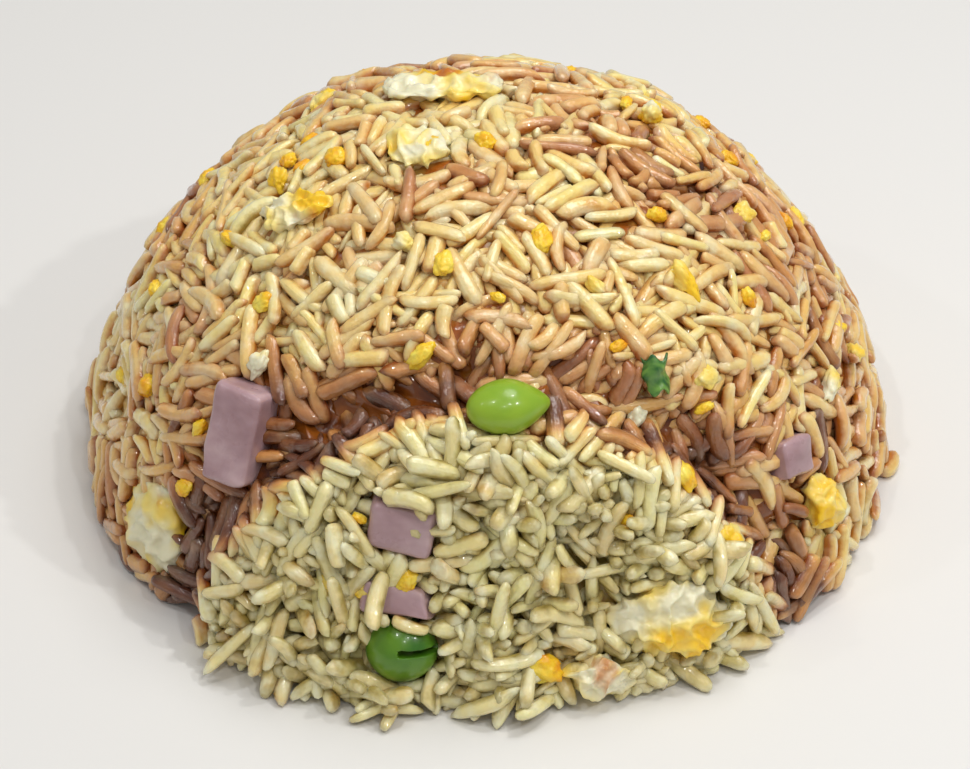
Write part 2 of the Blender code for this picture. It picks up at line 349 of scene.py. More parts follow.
def surface_points(mesh):
    """Points all over a mesh's triangles, at most about 1 mm apart, with their normals."""
    mesh.calc_loop_triangles()
    spots, normals = [], []
    for triangle in mesh.loop_triangles:
        a, b, c = (np.array(mesh.vertices[i].co) for i in triangle.vertices)
        longest = max(np.linalg.norm(b - a), np.linalg.norm(c - a), np.linalg.norm(c - b))
        steps = max(1, math.ceil(longest / (1.0 * MM)))
        for i in range(steps + 1):
            for j in range(steps + 1 - i):
                spots.append(a + (b - a) * i / steps + (c - a) * j / steps)
                normals.append(np.array(triangle.normal))
    return np.array(spots), np.array(normals)


def small_beads(skin):
    """A fixed bead for each small piece that shows."""
    beads = [skin.spot(azimuth, height * MM, 0.9 * MM)[0]
             for azimuth, height, _ in YOLK_CURDS + WHITE_BITS + SCALLIONS + OPEN_POOLS]
    return np.array(beads)


def topping_beads():
    """Fixed beads in and just over each topping, so that grains lie round it and not on it."""
    beads = []
    for name in TOPPINGS:
        spots, normals = surface_points(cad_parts[name].data)
        middle = (spots.max(0) + spots.min(0)) / 2
        outward = unit(middle[None])[0]
        inner = spots - normals * 1.1 * MM
        facing = (normals * outward).sum(1) > 0.45
        shrunk = middle + (spots[facing] - middle) * CLEAR_SHARE[name.split("_")[0]]
        beads.append(inner)
        beads.append(shrunk + outward * 1.3 * MM)
    beads = np.concatenate(beads)
    _, first = np.unique(np.round(beads / (1.1 * MM)).astype(int), axis=0, return_index=True)
    return beads[np.sort(first)]


def start_grains(skin, rng):
    """Centres spread evenly over the shell, and directions along the skin or sticking out of it."""
    azimuth, elevation = np.meshgrid(skin.azimuth, skin.elevation)
    points = direction(azimuth, elevation) * skin.reach[..., None]
    slope = (skin.normal * unit(points)).sum(-1)
    area = skin.reach**2 * np.cos(elevation) / np.maximum(slope, 0.3)
    area[-1] = 0
    chosen = rng.choice(area.size, GRAIN_COUNT, p=area.ravel() / area.sum())
    spots, normals = points.reshape(-1, 3)[chosen], skin.normal.reshape(-1, 3)[chosen]
    spots = spots + rng.normal(0, 0.5 * MM, spots.shape)
    deep = rng.uniform(1.3 * MM, SHELL - 1.0 * MM, GRAIN_COUNT)
    centre = spots - normals * deep[:, None]
    centre[:, 2] = np.maximum(centre[:, 2], 1.4 * MM)
    axis = unit(rng.normal(0, 1, (GRAIN_COUNT, 3)))
    return centre, axis


def pack_grains(skin, rng):
    """Pushes the grains apart, as rods of beads, between the skin, the core and the floor."""
    centre, axis = start_grains(skin, rng)
    length = rng.uniform(*GRAIN_LENGTH, GRAIN_COUNT)
    broken = rng.random(GRAIN_COUNT) < BROKEN_SHARE
    length = np.where(broken, length * rng.uniform(0.5, 0.7, GRAIN_COUNT), length)
    width = rng.uniform(*GRAIN_WIDTH, GRAIN_COUNT)
    bead = width / 2 * SOFTNESS
    along = np.linspace(-1, 1, BEADS)[None] * (length / 2 - bead * 0.9)[:, None]
    fixed = np.concatenate([topping_beads(), small_beads(skin)])
    radii = np.concatenate([np.repeat(bead, BEADS), np.full(len(fixed), 1.1 * MM)])
    owner = np.concatenate([np.repeat(np.arange(GRAIN_COUNT), BEADS), -1 - np.arange(len(fixed))])
    moving = owner >= 0
    proud = rng.uniform(-0.6 * MM, 0.5 * MM, GRAIN_COUNT)
    sticks = rng.random(GRAIN_COUNT)
    lean = rng.uniform(0.25, 0.9, GRAIN_COUNT)
    spread = (along**2).sum(1)
    for step in range(RELAX_STEPS):
        beads = centre[:, None] + along[..., None] * axis[:, None]
        flat = beads.reshape(-1, 3)
        everything = np.concatenate([flat, fixed])
        if step % 4 == 0:
            first, second = near_pairs(everything, 2.9 * MM)
            apart = (owner[first] != owner[second]) & (moving[first] | moving[second])
            first, second = first[apart], second[apart]
        gap = everything[second] - everything[first]
        far = np.maximum(np.linalg.norm(gap, axis=1), 1e-7)
        over = radii[first] + radii[second] - far
        hit = over > 0
        a, b, way = first[hit], second[hit], gap[hit] / far[hit, None]
        both = np.where(moving[a] & moving[b], 0.5, 1.0)
        shift = way * (over[hit] * both)[:, None]
        push = np.zeros_like(everything)
        for k in range(3):
            push[:, k] += np.bincount(b, shift[:, k], len(everything))
            push[:, k] -= np.bincount(a, shift[:, k], len(everything))
        count = np.bincount(a, minlength=len(everything)) + np.bincount(b, minlength=len(everything))
        push /= np.maximum(1, count * 0.6)[:, None]
        push = push[: len(flat)].reshape(beads.shape)
        normals = skin.normals(centre)
        loose = looseness(centre)
        wide = np.repeat(normals[:, None], BEADS, 1)
        deep = skin.depth(beads, wide)
        poking = loose * (sticks < 0.42 + 0.35 * tufted(centre))
        stick_out = (proud + loose * 1.0 * MM + poking * (3.0 + 1.6 * tufted(centre)) * MM)[:, None]
        too_high = np.maximum(0, bead[:, None] - stick_out - deep)
        too_low = np.maximum(0, deep - (SHELL - bead[:, None]))
        push += wide * (too_low - too_high)[..., None]
        push[..., 2] += np.maximum(0, bead[:, None] - (beads[..., 2] + push[..., 2]))
        turn = (along[..., None] * push).sum(1) / spread[:, None]
        centre = centre + push.mean(1)
        axis = axis + 0.8 * turn
        out = (axis * normals).sum(1)
        axis = axis - normals * (out * 0.30 * (1 - loose))[:, None]
        wanted = np.where(out < 0, -1.0, 1.0) * lean
        axis = axis + normals * ((wanted - out) * 0.12 * poking)[:, None]
        axis = unit(axis)
    return {"centre": centre, "axis": axis, "length": length, "width": width, "broken": broken}


# ---------------------------------------------------------------- grain meshes

def grain_verts(grains, pick, rings, sides, rng):
    """Corner points of the picked grains: rings round a bent centre line, and a point at each end."""
    count = len(pick)
    axis = grains["axis"][pick]
    length, width = grains["length"][pick], grains["width"][pick]
    broken = grains["broken"][pick]
    other = unit(np.cross(axis, unit(rng.normal(0, 1, (count, 3)))))
    third = np.cross(axis, other)
    t = -np.cos(np.linspace(0, np.pi, rings + 2))[1:-1]
    blunt = np.where(broken, 11.0, rng.uniform(4.0, 8.0, count))[:, None]
    profile = (1 - np.abs(t[None]) ** blunt) ** (1 / 2.2)
    profile = profile * (1 + rng.uniform(-0.14, 0.14, count)[:, None] * t[None])
    turn = np.arange(sides) * 2 * np.pi / sides
    phase = rng.uniform(0, 2 * np.pi, count)[:, None, None]
    groove = 1 + 0.05 * np.cos(3 * turn[None, None] + phase) + 0.05 * np.cos(4 * turn[None, None] - phase)
    lump = 1 + 0.03 * np.sin(3.5 * t[None, :, None] + phase * 2)
    squash = rng.uniform(0.66, 0.92, count)[:, None, None]
    slant = rng.normal(0, 0.16, count)[:, None, None]
    radius = (width / 2)[:, None, None] * profile[:, :, None] * groove * lump
    bend = (rng.normal(0, 0.075, count) * length)[:, None]
    sway = (rng.normal(0, 0.025, count) * length)[:, None]
    line_other = bend * (1 - t[None] ** 2) - bend * 0.6
    line_third = sway * t[None] ** 3
    centre = grains["centre"][pick]
    spine = centre[:, None] + axis[:, None] * (t[None] * length[:, None] / 2)[..., None]
    spine = spine + other[:, None] * line_other[..., None] + third[:, None] * line_third[..., None]
    ring = (other[:, None, None] * (radius * np.cos(turn))[..., None]
            + third[:, None, None] * (radius * squash * np.sin(turn))[..., None])
    lean = slant * width[:, None, None] * np.cos(turn)[None, None] * t[None, :, None] ** 2
    body = spine[:, :, None] + ring + axis[:, None, None] * lean[..., None]
    body = body.reshape(count, rings * sides, 3)
    tail = centre - axis * (length / 2)[:, None] - other * bend * 0.6 - third * sway
    head = centre + axis * (length / 2)[:, None] - other * bend * 0.6 + third * sway
    verts = np.concatenate([body, tail[:, None], head[:, None]], 1)
    verts[..., 2] += np.maximum(0, FLOOR_GAP - verts[..., 2].min(1))[:, None]
    place = np.concatenate([np.repeat(t, sides), [-1.0, 1.0]])
    # crown: how far each corner lies out along the skin's normal from the grain's centre line, in half
    # widths. The rice material paints shade on the sides and undersides where it is low.
    away = ((verts[:, :-2] - np.repeat(spine, sides, 1)) * grains["normal"][pick][:, None]).sum(-1)
    crown = np.zeros(verts.shape[:2])
    crown[:, :-2] = away / (width / 2)[:, None]
    return verts, place, crown


def grain_faces(rings, sides):
    """Corners of one grain's faces, and the share along and round the grain of each corner."""
    faces, maps = [], []
    last = rings * sides
    for ring in range(rings - 1):
        for side in range(sides):
            after = (side + 1) % sides
            low, high = ring * sides, (ring + 1) * sides
            faces.append((low + side, low + after, high + after, high + side))
            u0, u1 = (ring + 1) / (rings + 1), (ring + 2) / (rings + 1)
            v0, v1 = side / sides, (side + 1) / sides
            maps.append(((u0, v0), (u0, v1), (u1, v1), (u1, v0)))
    for side in range(sides):
        after = (side + 1) % sides
        v0, v1 = side / sides, (side + 1) / sides
        top = (rings - 1) * sides
        near, far = 1 / (rings + 1), rings / (rings + 1)
        faces.append((last, after, side))
        maps.append(((0.0, (v0 + v1) / 2), (near, v1), (near, v0)))
        faces.append((last + 1, top + side, top + after))
        maps.append(((1.0, (v0 + v1) / 2), (far, v0), (far, v1)))
    return faces, maps


def grain_piece(name, grains, pick, rings, sides, rng, material):
    """One mesh of all the picked grains, with a cell of the texture for each."""
    verts, place, crown = grain_verts(grains, pick, rings, sides, rng)
    faces, maps = grain_faces(rings, sides)
    count, each = len(pick), verts.shape[1]
    sizes = np.array([len(f) for f in faces])
    corners = np.concatenate([np.array(f) for f in faces])
    loops = (corners[None] + each * np.arange(count)[:, None]).ravel()
    totals = np.tile(sizes, count)
    mesh = bpy.data.meshes.new(name)
    mesh.vertices.add(count * each)
    mesh.vertices.foreach_set("co", verts.reshape(-1).astype(np.float32))
    mesh.loops.add(len(loops))
    mesh.loops.foreach_set("vertex_index", loops.astype(np.int32))
    mesh.polygons.add(len(totals))
    mesh.polygons.foreach_set("loop_start", (np.cumsum(totals) - totals).astype(np.int32))
    mesh.polygons.foreach_set("use_smooth", np.ones(len(totals), bool))
    mesh.update(calc_edges=True)
    columns = math.ceil(math.sqrt(count))
    share = np.concatenate([np.array(m) for m in maps])
    corner = np.stack([np.arange(count) % columns, np.arange(count) // columns], 1)
    uv = (corner[:, None] + 0.08 + 0.84 * share[None]) / columns
    layer = mesh.uv_layers.new(name="OFBake")
    layer.data.foreach_set("uv", uv.reshape(-1).astype(np.float32))
    flat = verts.reshape(-1, 3)
    zone = stain(flat)
    soaked = zone + np.repeat(grains["tint"][pick], each) * (0.3 + 0.9 * ramp(0.1, 0.5, zone))
    set_attribute(mesh, "stain", np.clip(soaked, 0, 1))
    set_attribute(mesh, "along", np.tile(place, count))
    # crown masks the painted shade on the sides of the grains.
    set_attribute(mesh, "crown", crown.ravel())
    set_attribute(mesh, "chance", np.repeat(grains["chance"][pick], each))
    mesh.materials.append(material)
    return add_object(name, mesh)


def set_attribute(mesh, name, values):
    layer = mesh.attributes.new(name, "FLOAT", "POINT")
    layer.data.foreach_set("value", np.asarray(values, np.float32))


def add_object(name, mesh):
    obj = bpy.data.objects.new(name, mesh)
    bpy.context.scene.collection.objects.link(obj)
    return obj


def finish_piece(obj, slot, *nodes):
    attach(obj, "root")
    if nodes:
        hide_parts(*nodes)
    return obj


def build_rice(skin, materials, rng):
    """The grains as one piece for each kind: pale, cream, tan and brown, and those underneath."""
    grains = pack_grains(skin, rng)
    grains["tint"] = rng.normal(0, 0.12, GRAIN_COUNT)
    wander = 0.7 * field(grains["centre"], 7 * MM, 31) + rng.normal(0, 0.16, GRAIN_COUNT)
    grains["chance"] = np.clip(0.5 + wander, 0, 1)
    normals = skin.normals(grains["centre"])
    grains["normal"] = normals
    deep = skin.depth(grains["centre"], normals)
    outer = deep < 3.8 * MM
    soaked = np.clip(stain(grains["centre"]) + 0.5 * grains["tint"], 0, 1)
    kinds = {
        "rice_pale": outer & (soaked < 0.25),
        "rice_cream": outer & (soaked >= 0.25) & (soaked < 0.47),
        "rice_tan": outer & (soaked >= 0.47) & (soaked < 0.72),
        "rice_brown": outer & (soaked >= 0.72),
    }
    for name, chosen in kinds.items():
        pick = np.flatnonzero(chosen)
        obj = grain_piece(name, grains, pick, 9, 8, rng, materials["rice"])
        finish_piece(obj, "rice", "rice_mound")
        print(name, len(pick), "grains", sum(len(p.vertices) - 2 for p in obj.data.polygons), "triangles")
    pick = np.flatnonzero(~outer)
    obj = grain_piece("rice_under", grains, pick, 5, 6, rng, materials["rice"])
    finish_piece(obj, "rice", "rice_mound")
    print("rice_under", len(pick), "grains")


# ---------------------------------------------------------------- core and sauce

def grid_mesh(name, points, closed=True):
    """A mesh from rows of points round the mound, with its rows joined and its foot closed."""
    rows, columns = points.shape[:2]
    shape = bmesh.new()
    verts = [[shape.verts.new(points[r, c]) for c in range(columns)] for r in range(rows)]
    for r in range(rows - 1):
        for c in range(columns):
            n = (c + 1) % columns
            shape.faces.new((verts[r][c], verts[r][n], verts[r + 1][n], verts[r + 1][c]))
    if closed:
        shape.faces.new(list(reversed(verts[0])))
        shape.faces.new(verts[-1])
    bmesh.ops.recalc_face_normals(shape, faces=shape.faces[:])
    mesh = bpy.data.meshes.new(name)
    shape.to_mesh(mesh)
    shape.free()
    mesh.shade_smooth()
    return mesh


def build_core(skin, materials):
    """The rice under the grains: the same mound 5 mm smaller, with relief as fine as grains."""
    azimuth = np.arange(240) * 2 * np.pi / 240
    elevation = np.linspace(LOWEST, math.radians(88), 84)
    turn, rise = np.meshgrid(azimuth, elevation)
    ways = direction(turn, rise)
    points = ways * skin.look_up(skin.reach, ways)[..., None]
    normals = skin.normals(points)
    relief = 0.7 * MM * field(points, 2.4 * MM, 21) + 0.5 * MM * field(points, 6 * MM, 22)
    loose = looseness(points)
    sunk = CORE_DEPTH_PRESSED + (CORE_DEPTH_LOOSE - CORE_DEPTH_PRESSED) * loose
    points = points - normals * (sunk - relief)[..., None]
    points[..., 2] = np.maximum(points[..., 2], 0.6 * MM)
    points[0, :, 2] = 0.6 * MM
    mesh = grid_mesh("rice_core", points)
    spots = np.array([v.co for v in mesh.vertices])
    # The stain sets the colour of the core's painted shade between the grains: olive under the pale rice,
    # amber to dark brown under the stained rice.
    set_attribute(mesh, "stain", stain(spots))
    mesh.materials.append(materials["core"])
    finish_piece(add_object("rice_core", mesh), "rice", "rice_mound")


# ---------------------------------------------------------------- small pieces and sauce

def frame_at(normal, spin):
    """Two directions along the skin, turned by spin, and the one out of it."""
    side = unit(np.cross(normal, (0.13, 0.27, 1.0)))
    other = np.cross(normal, side)
    return side * np.cos(spin) + other * np.sin(spin), other * np.cos(spin) - side * np.sin(spin), normal


def lump(shape, spot, normal, size, crag, seed, rng):
    """Adds one crumb of rounded lobes to a bmesh, lying on the skin."""
    axes = frame_at(normal, rng.uniform(0, 2 * np.pi))
    long, wide, high = size * rng.uniform(0.9, 1.25), size * rng.uniform(0.6, 0.95), size * 0.72
    lobes = unit(rng.normal(0, 1, (9, 3)))
    heights = rng.uniform(0.3, 1.0, 9) * crag
    made = bmesh.ops.create_icosphere(shape, subdivisions=4, radius=1.0)
    shift = Vector((seed * 3.7, seed * 1.3, 0.0))
    for vert in made["verts"]:
        way = vert.co.normalized()
        near = lobes @ np.array(way)
        reach = 1 - 0.4 * crag + float((heights * np.exp(-(1 - near) / 0.10)).max())
        reach += 0.16 * noise.noise(way * 2.6 + shift) + 0.10 * noise.noise(way * 6.0 + shift)
        reach += 0.05 * noise.noise(way * 14.0 + shift)
        local = np.array(way) * (long / 2, wide / 2, high / 2) * reach
        vert.co = Vector(spot + axes[0] * local[0] + axes[1] * local[1] + axes[2] * local[2])


def hidden_spots(count, size, rng):
    """Places for more of the same on the sides and back, clear of the front."""
    azimuths = rng.uniform(70, 290, count)
    heights = 5 + 52 * rng.random(count) ** 0.8
    return tuple((a, h, s) for a, h, s in zip(azimuths, heights, rng.uniform(*size, count)))


def build_crumbs(skin, name, spots, crag, material, slot, rng):
    shape = bmesh.new()
    for number, (azimuth, height, size) in enumerate(spots):
        spot, normal = skin.spot(azimuth, height * MM, 0.5 * MM)
        lump(shape, spot, normal, size * MM, crag, number + 1, rng)
    mesh = bpy.data.meshes.new(name)
    shape.to_mesh(mesh)
    shape.free()
    mesh.shade_smooth()
    mesh.materials.append(material)
    finish_piece(add_object(name, mesh), slot)


def build_scallions(skin, material, rng):
    """Short split rings of green onion leaf, with real thickness."""
    shape = bmesh.new()
    for azimuth, height, size in SCALLIONS:
        spot, normal = skin.spot(azimuth, height * MM, 1.3 * MM)
        axes = frame_at(normal, rng.uniform(0, 2 * np.pi))
        rows = []
        for i in range(17):
            s = i / 16 - 0.5
            row = []
            for j in range(15):
                turn = 2.2 * (j / 14 - 0.5) + 0.3 * math.sin(4 * s)
                far = size * 0.42 * MM * (1 + 0.14 * math.sin(7 * s + 2 * turn))
                ragged = size * MM * s * (1 + 0.22 * math.sin(5 * turn))
                across, rise = far * math.sin(turn), far * math.cos(turn)
                row.append(spot + axes[0] * ragged + axes[1] * across + axes[2] * rise)
            rows.append(row)
        verts = [[shape.verts.new(p) for p in row] for row in rows]
        for i in range(16):
            for j in range(14):
                shape.faces.new((verts[i][j], verts[i + 1][j], verts[i + 1][j + 1], verts[i][j + 1]))
    bmesh.ops.recalc_face_normals(shape, faces=shape.faces[:])
    bmesh.ops.solidify(shape, geom=shape.faces[:], thickness=0.35 * MM)
    mesh = bpy.data.meshes.new("scallion_strips")
    shape.to_mesh(mesh)
    shape.free()
    mesh.shade_smooth()
    mesh.materials.append(material)
    finish_piece(add_object("scallion_strips", mesh), "scallion")


def build_sauce(skin, material):
    """Pools of soy sauce between the grains: each is highest in its middle and dips away at its edge."""
    shape = bmesh.new()
    rings, sides = 9, 40
    for number, (azimuth, height, size) in enumerate(POOLS):
        middle, normal = skin.spot(azimuth, height * MM)
        across, up, _ = frame_at(normal, 0.0)
        rows = []
        for ring in range(rings):
            share = (ring + 0.15) / (rings - 0.85)
            row = []
            for side in range(sides):
                turn = 2 * math.pi * side / sides
                way = Vector((math.cos(turn), math.sin(turn), number * 2.3))
                ragged = 1 + 0.4 * noise.noise(way * 1.3)
                far = size * MM * share * ragged
                point = middle + (across * 1.5 * math.cos(turn) + up * 0.8 * math.sin(turn)) * far
                point = unit(point[None]) * skin.look_up(skin.reach, point[None])[..., None]
                deep = (0.8 + 2.4 * share**2) * MM
                row.append(point[0] - skin.normals(point)[0] * deep)
            rows.append(row)
        verts = [[shape.verts.new(p) for p in row] for row in rows]
        for r in range(rings - 1):
            for c in range(sides):
                n = (c + 1) % sides
                shape.faces.new((verts[r][c], verts[r + 1][c], verts[r + 1][n], verts[r][n]))
        shape.faces.new(verts[0])
    bmesh.ops.recalc_face_normals(shape, faces=shape.faces[:])
    bmesh.ops.solidify(shape, geom=shape.faces[:], thickness=0.5 * MM)
    mesh = bpy.data.meshes.new("sauce_pools")
    shape.to_mesh(mesh)
    shape.free()
    mesh.shade_smooth()
    mesh.materials.append(material)
    finish_piece(add_object("sauce_pools", mesh), "sauce")


# ---------------------------------------------------------------- toppings

def refined(node, name, levels, relief):
    """A finer copy of a CAD topping, with its surface moved along its normals by relief(point)."""
    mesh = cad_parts[node].data.copy()
    mesh.name = name
    shape = bmesh.new()
    shape.from_mesh(mesh)
    bmesh.ops.remove_doubles(shape, verts=shape.verts, dist=0.01 * MM)
    for _ in range(levels):
        bmesh.ops.subdivide_edges(shape, edges=shape.edges[:], cuts=1, use_grid_fill=True)
        bmesh.ops.smooth_vert(shape, verts=shape.verts, factor=0.4, use_axis_x=True, use_axis_y=True,
                              use_axis_z=True)
    bmesh.ops.triangulate(shape, faces=shape.faces[:])
    shape.normal_update()
    moves = [vert.normal * relief(vert.co) for vert in shape.verts]
    for vert, move in zip(shape.verts, moves):
        vert.co += move
    shape.to_mesh(mesh)
    shape.free()
    mesh.materials.clear()
    mesh.shade_smooth()
    return mesh


def ridge(point, size, shift):
    """Sharp folds, from 0 between them to 1 along their crests."""
    return (1 - abs(noise.noise(point / size + Vector(shift)))) ** 3


def egg_relief(point):
    folds = ridge(point, 2.9 * MM, (3, 1, 7)) - 0.55
    curds = noise.noise(point / (1.5 * MM) + Vector((1, 9, 2)))
    pores = noise.noise(point / (0.6 * MM) + Vector((4, 2, 8)))
    return (1.3 * folds + 0.5 * curds + 0.18 * pores) * MM


def ham_relief(point):
    broad = noise.noise(point / (4.2 * MM))
    return (0.42 * broad + 0.14 * noise.noise(point / (1.4 * MM))) * MM


def bean_relief(point):
    return 0.05 * MM * noise.noise(point / (2.5 * MM))


def build_toppings(materials):
    kinds = {"edamame": (1, bean_relief), "ham": (2, ham_relief), "egg": (4, egg_relief)}
    for node in TOPPINGS:
        levels, relief = kinds[node.split("_")[0]]
        if node in ("egg_front_right", "egg_crown", "egg_upper", "egg_left", "egg_right"):
            levels = 3
        kind = {"edamame_split": "bean_dark", "edamame_ledge": "bean"}.get(node, node.split("_")[0])
        mesh = refined(node, node + "_piece", levels, relief)
        mesh.materials.append(materials[kind])
        finish_piece(add_object(node + "_piece", mesh), kind, node)


# ---------------------------------------------------------------- materials

class Graph:
    """A short way to write a material's nodes."""

    def __init__(self, name):
        self.material = bpy.data.materials.new(name)
        self.material.use_nodes = True
        self.nodes = self.material.node_tree.nodes
        self.links = self.material.node_tree.links
        self.shader = self.nodes["Principled BSDF"]
        self.place = self.nodes.new("ShaderNodeTexCoord").outputs["Object"]

    def set(self, **values):
        for name, value in values.items():
            self.shader.inputs[name.replace("_", " ")].default_value = value

    def attribute(self, name):
        node = self.nodes.new("ShaderNodeAttribute")
        node.attribute_name = name
        return node.outputs["Fac"]

    def noise(self, scale, detail=2.0, stretch=None):
        node = self.nodes.new("ShaderNodeTexNoise")
        node.inputs["Scale"].default_value = scale
        node.inputs["Detail"].default_value = detail
        source = self.place
        if stretch:
            mapping = self.nodes.new("ShaderNodeMapping")
            mapping.inputs["Scale"].default_value = stretch
            self.links.new(source, mapping.inputs["Vector"])
            source = mapping.outputs["Vector"]
        self.links.new(source, node.inputs["Vector"])
        return node.outputs["Fac"]

    def stretched_noise(self, scale):
        """Noise laid along each grain, by the grain's own share of the map."""
        source = self.nodes.new("ShaderNodeUVMap")
        source.uv_map = "OFBake"
        mapping = self.nodes.new("ShaderNodeMapping")
        mapping.inputs["Scale"].default_value = scale
        node = self.nodes.new("ShaderNodeTexNoise")
        node.inputs["Scale"].default_value = 1.0
        self.links.new(source.outputs["UV"], mapping.inputs["Vector"])
        self.links.new(mapping.outputs["Vector"], node.inputs["Vector"])
        return node.outputs["Fac"]

    def ramp(self, factor, *stops):
        node = self.nodes.new("ShaderNodeValToRGB")
        line = node.color_ramp
        while len(line.elements) < len(stops):
            line.elements.new(0.5)
        for element, (place, colour) in zip(line.elements, stops):
            element.position = place
            element.color = colour if len(colour) == 4 else (*colour, 1.0)
        self.links.new(factor, node.inputs["Fac"])
        return node.outputs["Color"]

    def math(self, kind, a, b):
        node = self.nodes.new("ShaderNodeMath")
        node.operation = kind
        for socket, value in zip(node.inputs, (a, b)):
            if isinstance(value, (int, float)):
                socket.default_value = value
            else:
                self.links.new(value, socket)
        return node.outputs["Value"]

    def mix(self, factor, a, b, blend="MIX"):
        node = self.nodes.new("ShaderNodeMix")
        node.data_type = "RGBA"
        node.blend_type = blend
        for socket, value in ((node.inputs[0], factor), (node.inputs[6], a), (node.inputs[7], b)):
            if isinstance(value, (int, float, tuple)):
                socket.default_value = value
            else:
                self.links.new(value, socket)
        return node.outputs[2]

    def span(self, value, low, high):
        """value, from 0 to 1, spread over low to high."""
        return self.math("ADD", self.math("MULTIPLY", value, high - low), low)

    def link(self, output, name):
        self.links.new(output, self.shader.inputs[name])

    def bump(self, height, strength, distance):
        node = self.nodes.new("ShaderNodeBump")
        node.inputs["Strength"].default_value = strength
        node.inputs["Distance"].default_value = distance
        self.links.new(height, node.inputs["Height"])
        self.links.new(node.outputs["Normal"], self.shader.inputs["Normal"])
        self.links.new(node.outputs["Normal"], self.shader.inputs["Coat Normal"])

    def moist(self, scatter, depth):
        self.set(Subsurface_Weight=scatter, Subsurface_Scale=depth, IOR=1.42, Coat_Weight=0.35,
                 Coat_Roughness=0.12)
        self.shader.inputs["Subsurface Radius"].default_value = (1.0, 0.7, 0.4)
        return self.material


def rice_material():
    """Milky on the side that faces out. The sides that face into the gaps between grains are painted darker
    as painted shade: olive in the pale rice, and amber to dark brown in the stained rice, where they are
    partly the sauce between the grains.
    """
    g = Graph("cooked rice")
    patchy = g.math("MULTIPLY", g.math("SUBTRACT", g.noise(260.0), 0.5), 0.30)
    soaked = g.math("ADD", g.attribute("stain"), patchy)
    pale = g.ramp(soaked, (0.0, PALE), (0.3, CREAM), (0.55, AMBER_TAN), (0.78, TAN), (1.0, BROWN))
    rosy = g.ramp(soaked, (0.0, PALE_2), (0.3, CREAM_2), (0.55, ROSY_TAN), (0.78, ROSY_BROWN), (1.0, BROWN))
    body = g.mix(g.attribute("chance"), pale, rosy)
    # Painted shade: where a grain's crown turns away from the skin, its sides and underside take these darker
    # colours instead of its own colour. In the stained rice they are partly the sauce between the grains.
    side = g.ramp(soaked, (0.05, OLIVE_SHADE), (0.3, AMBER_SAUCE_AND_SHADE), (0.6, RUST_SAUCE_AND_SHADE), (1.0, DARK_SAUCE_AND_SHADE))
    crown = g.math("ADD", g.attribute("crown"), g.math("SUBTRACT", g.noise(520.0), 0.5))
    colour = g.mix(g.ramp(crown, (0.05, (0, 0, 0)), (0.70, (1, 1, 1))), side, body)
    clean = g.ramp(g.attribute("stain"), (0.10, (1, 1, 1)), (0.7, (0.1, 0.1, 0.1)))
    ends = g.math("MULTIPLY", g.math("POWER", g.math("ABSOLUTE", g.attribute("along"), 0.0), 6.0), 0.3)
    heart = g.ramp(g.noise(330.0), (0.46, (0, 0, 0)), (0.72, (0.75, 0.75, 0.75)))
    milky = g.math("MULTIPLY", g.math("ADD", ends, heart), clean)
    colour = g.mix(milky, colour, WHITE_TIP)
    g.link(colour, "Base Color")
    g.link(g.span(g.noise(420.0), 0.25, 0.5), "Roughness")
    streaks = g.stretched_noise(GRAIN_STREAKS)
    wave = g.math("ADD", g.math("MULTIPLY", streaks, 0.6), g.noise(900.0, 2.0))
    g.bump(wave, 0.7, 0.3 * MM)
    g.moist(0.2, 2.5 * MM)
    g.set(Coat_Weight=1.0, Coat_Roughness=0.06)
    return g.material


def sauce_material():
    g = Graph("soy sauce")
    g.link(g.ramp(g.noise(210.0), (0.3, SAUCE), (0.7, srgb(150, 84, 24))), "Base Color")
    g.link(g.span(g.noise(180.0), 0.05, 0.16), "Roughness")
    g.bump(g.noise(300.0), 0.12, 0.3 * MM)
    return g.moist(0.05, 1.5 * MM)


def yolk_material():
    g = Graph("egg yolk crumb")
    g.link(g.ramp(g.noise(230.0, 3.0), (0.34, YOLK_DEEP), (0.50, YOLK), (0.68, YOLK_LIGHT)), "Base Color")
    g.link(g.span(g.noise(500.0), 0.25, 0.5), "Roughness")
    g.bump(g.noise(1500.0, 2.0), 0.6, 0.25 * MM)
    return g.moist(0.15, 1.0 * MM)


def scallion_material():
    g = Graph("scallion leaf")
    g.link(g.ramp(g.noise(420.0, 2.0, (1.0, 3.0, 1.0)), (0.35, SCALLION), (0.68, srgb(112, 156, 66))),
           "Base Color")
    g.set(Roughness=0.3)
    return g.moist(0.1, 1.0 * MM)


def core_material():
    g = Graph("packed rice in painted shade")
    # Painted shade: the core shows only in the gaps between the grains, so it is coloured as the rice looks
    # in shade there. It is olive under the pale rice and amber to dark brown under the stained rice, where it
    # is partly the sauce itself.
    soaked = g.math("ADD", g.attribute("stain"), g.math("SUBTRACT", g.noise(300.0, 4.0), 0.5))
    colour = g.ramp(soaked, (0.0, OLIVE_SHADE), (0.45, CORE_SAUCE_AND_SHADE), (1.0, DARK_SAUCE_AND_SHADE))
    g.link(colour, "Base Color")
    g.link(g.span(g.noise(500.0), 0.14, 0.4), "Roughness")
    g.bump(g.noise(700.0, 3.0), 0.3, 0.4 * MM)
    return g.moist(0.1, 1.5 * MM)


def bean_material(name, light, deep):
    g = Graph(name)
    colour = g.ramp(g.noise(110.0, 3.0), (0.3, deep), (0.7, light))
    g.link(colour, "Base Color")
    g.link(g.span(g.noise(260.0), 0.22, 0.42), "Roughness")
    g.bump(g.noise(700.0, 2.0), 0.3, 0.15 * MM)
    return g.moist(0.15, 1.5 * MM)


def ham_material():
    g = Graph("cooked ham")
    fibres = g.noise(120.0, 3.0, (1.0, 1.0, 1.6))
    colour = g.ramp(fibres, (0.32, HAM_DARK), (0.52, HAM_PINK), (0.74, HAM_LIGHT))
    g.link(colour, "Base Color")
    g.link(g.span(g.noise(350.0), 0.18, 0.42), "Roughness")
    g.bump(g.noise(600.0, 2.0), 0.35, 0.25 * MM)
    return g.moist(0.15, 1.5 * MM)


